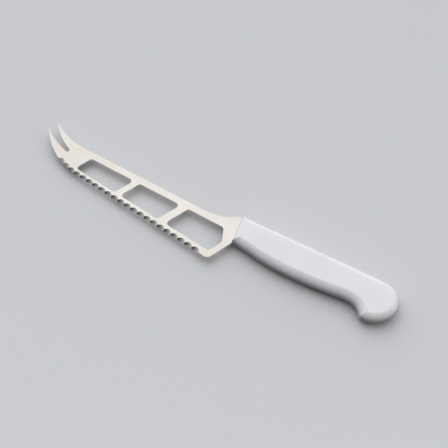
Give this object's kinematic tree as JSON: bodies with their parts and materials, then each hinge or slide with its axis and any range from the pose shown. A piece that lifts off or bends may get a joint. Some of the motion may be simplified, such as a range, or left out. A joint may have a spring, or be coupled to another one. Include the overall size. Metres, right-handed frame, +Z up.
{
  "type": "cheese knife",
  "caption": "Cheese knife with a windowed, one-side scalloped steel blade, an upturned forked tip for serving and a white moulded handle with a hooked end.",
  "frame": {"origin": "middle of the bounding box, on the surface that the knife lies on", "axes": "+X along the knife from the fork to the butt, +Y from the scalloped edge to the spine, +Z up from the lying side to the ground side"},
  "size_m": [0.25, 0.038, 0.0095],
  "materials": {
    "steel": "satin",
    "plastic": "satin"
  },
  "bodies": {
    "root": {"blade": "steel", "handle": "plastic"}
  },
  "joints": []
}
